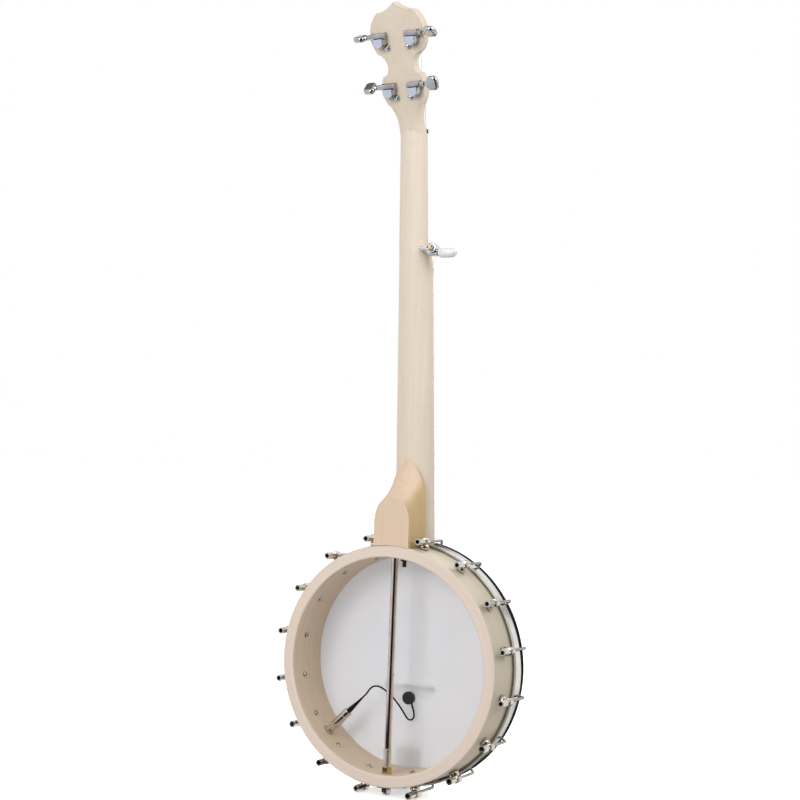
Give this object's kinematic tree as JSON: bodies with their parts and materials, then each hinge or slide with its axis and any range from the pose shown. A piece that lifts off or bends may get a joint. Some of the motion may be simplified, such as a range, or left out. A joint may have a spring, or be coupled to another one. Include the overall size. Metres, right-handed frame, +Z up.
{
  "type": "five-string banjo",
  "caption": "Open-back five-string banjo with a bracket-tensioned head, pale maple neck and pot, geared tuners and a built-in contact pickup.",
  "frame": {"origin": "centre of the pot on the plane of the rim's back edge", "axes": "+Z up the neck towards the peghead, -Y the way the head and strings face, +X the first-string (treble) side, -X the fifth-string side"},
  "size_m": [0.3066, 0.1185, 0.9352],
  "materials": {
    "maple": "pale satin maple, no stain",
    "maple_heel": "satin maple, vertical grain",
    "maple_bridge": "bare maple",
    "dark_hardwood": "oiled dark hardwood",
    "head_film": "frosted white polyester film",
    "nickel": "bright nickel plate",
    "rod_steel": "bright nickel plate on steel rod",
    "brass": "turned brass",
    "dark_steel": "black oxide steel",
    "fret_wire": "polished nickel silver",
    "black_plastic": "black",
    "dot_inlay": "plain dark dots",
    "string_steel": "plain steel wire",
    "wound_string": "wound wire",
    "chrome": "bright chrome plate",
    "chrome_moving": "bright chrome plate",
    "gear_brass": "machined brass",
    "pearl": "white pearl plastic",
    "black_rubber": "black, matt"
  },
  "bodies": {
    "root": {"rim": "maple", "neck": "maple", "heel_block": "maple_heel", "bridge": "maple_bridge", "bridge_cap": "dark_hardwood", "head_membrane": "head_film", "tension_hoop": "nickel", "flesh_hoop": "nickel", "bracket_hooks": "nickel", "bracket_shoes": "nickel", "bracket_nuts": "nickel", "shoe_screws": "nickel", "tailpiece": "nickel", "tailpiece_hanger": "nickel", "rod_end_bolt": "nickel", "coordinator_rod": "rod_steel", "rod_sleeve": "rod_steel", "rod_foot": "brass", "neck_bolts": "dark_steel", "neck_bolt_nut": "dark_steel", "frets": "fret_wire", "string_nut": "black_plastic", "fifth_string_pip": "black_plastic", "pickup_disc": "black_plastic", "position_dots": "dot_inlay", "string_1": "string_steel", "string_2": "string_steel", "string_3": "string_steel", "string_5": "string_steel", "string_4": "wound_string", "tuner_housings": "chrome", "tuner_lids": "chrome", "tuner_bushings": "chrome", "tuner_screws": "chrome", "fifth_tuner_housing": "chrome", "fifth_tuner_lid": "chrome", "jack_barrel": "chrome", "jack_rings": "chrome", "jack_boot": "black_rubber", "pickup_cable": "black_rubber"},
    "tuner_1_knob": {"tuner_1_worm": "chrome_moving", "tuner_1_button": "chrome_moving"},
    "tuner_1_spool": {"tuner_1_post": "chrome_moving", "tuner_1_gear": "gear_brass"},
    "tuner_2_knob": {"tuner_2_worm": "chrome_moving", "tuner_2_button": "chrome_moving"},
    "tuner_2_spool": {"tuner_2_post": "chrome_moving", "tuner_2_gear": "gear_brass"},
    "tuner_3_knob": {"tuner_3_worm": "chrome_moving", "tuner_3_button": "chrome_moving"},
    "tuner_3_spool": {"tuner_3_post": "chrome_moving", "tuner_3_gear": "gear_brass"},
    "tuner_4_knob": {"tuner_4_worm": "chrome_moving", "tuner_4_button": "chrome_moving"},
    "tuner_4_spool": {"tuner_4_post": "chrome_moving", "tuner_4_gear": "gear_brass"},
    "fifth_tuner_knob": {"fifth_tuner_worm": "chrome_moving", "fifth_tuner_button": "pearl"},
    "fifth_tuner_spool": {"fifth_tuner_post": "chrome_moving", "fifth_tuner_gear": "gear_brass"}
  },
  "joints": [
    {"name": "tuner_1_knob_turn", "type": "hinge", "parent": "root", "child": "tuner_1_knob", "pos_m": [0.021, 0.00809, 0.68542], "axis": [1, 0, 0], "continuous": true},
    {"name": "tuner_1_spool_turn", "type": "hinge", "parent": "root", "child": "tuner_1_spool", "pos_m": [0.021, 0.0015, 0.68033], "axis": [0, 0.9421, -0.3355], "continuous": true},
    {"name": "tuner_2_knob_turn", "type": "hinge", "parent": "root", "child": "tuner_2_knob", "pos_m": [0.0256, 0.02791, 0.74109], "axis": [1, 0, 0], "continuous": true},
    {"name": "tuner_2_spool_turn", "type": "hinge", "parent": "root", "child": "tuner_2_spool", "pos_m": [0.0256, 0.02133, 0.73601], "axis": [0, 0.9421, -0.3355], "continuous": true},
    {"name": "tuner_3_knob_turn", "type": "hinge", "parent": "root", "child": "tuner_3_knob", "pos_m": [-0.0168, 0.02791, 0.74109], "axis": [-1, 0, 0], "continuous": true},
    {"name": "tuner_3_spool_turn", "type": "hinge", "parent": "root", "child": "tuner_3_spool", "pos_m": [-0.0168, 0.02133, 0.73601], "axis": [0, 0.9421, -0.3355], "continuous": true},
    {"name": "tuner_4_knob_turn", "type": "hinge", "parent": "root", "child": "tuner_4_knob", "pos_m": [-0.0122, 0.00809, 0.68542], "axis": [-1, 0, 0], "continuous": true},
    {"name": "tuner_4_spool_turn", "type": "hinge", "parent": "root", "child": "tuner_4_spool", "pos_m": [-0.0122, 0.0015, 0.68033], "axis": [0, 0.9421, -0.3355], "continuous": true},
    {"name": "fifth_tuner_knob_turn", "type": "hinge", "parent": "root", "child": "fifth_tuner_knob", "pos_m": [-0.0268, -0.03, 0.4901], "axis": [-1, 0, 0], "continuous": true},
    {"name": "fifth_tuner_spool_turn", "type": "hinge", "parent": "root", "child": "fifth_tuner_spool", "pos_m": [-0.0268, -0.023, 0.4957], "axis": [0, 1, 0], "continuous": true}
  ],
  "couplings": [
    {"joint": "tuner_1_spool_turn", "follows": "tuner_1_knob_turn", "ratio": -0.071429},
    {"joint": "tuner_2_spool_turn", "follows": "tuner_2_knob_turn", "ratio": -0.071429},
    {"joint": "tuner_3_spool_turn", "follows": "tuner_3_knob_turn", "ratio": 0.071429},
    {"joint": "tuner_4_spool_turn", "follows": "tuner_4_knob_turn", "ratio": 0.071429},
    {"joint": "fifth_tuner_spool_turn", "follows": "fifth_tuner_knob_turn", "ratio": -0.071429}
  ]
}
